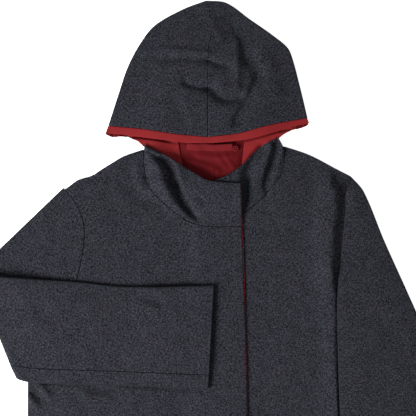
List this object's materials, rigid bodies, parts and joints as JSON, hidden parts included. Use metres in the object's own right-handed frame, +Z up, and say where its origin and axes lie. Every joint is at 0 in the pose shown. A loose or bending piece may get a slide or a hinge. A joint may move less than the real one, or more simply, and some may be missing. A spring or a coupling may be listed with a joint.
{
  "type": "hooded wool parka laid flat",
  "caption": "Hooded dark grey wool parka laid flat, face up, with its right sleeve folded across the chest and a red facing round the hood and neck.",
  "frame": {"origin": "under the bust line, on the flat underside of the back", "axes": "+X towards the wearer's left side, +Y towards the hood, +Z up out of the front"},
  "size_m": [0.7107, 1.0273, 0.0206],
  "materials": {
    "wool": "matt heathered wool",
    "red_cotton": "matt plain cotton",
    "shaded_cotton": "matt plain cotton"
  },
  "bodies": {
    "root": {"back_panel": "wool", "right_front": "wool", "left_front": "wool", "right_collar": "wool", "left_collar": "wool", "hood_right_panel": "wool", "hood_left_panel": "wool", "right_sleeve": "wool", "left_sleeve": "wool", "front_edge_facing": "red_cotton", "hood_edge_facing": "red_cotton", "right_hood_facing": "red_cotton", "left_hood_facing": "red_cotton", "right_corner_facing": "red_cotton", "left_corner_facing": "red_cotton", "neck_tape": "red_cotton", "hanger_loop": "red_cotton", "neck_lining": "shaded_cotton"}
  },
  "joints": []
}
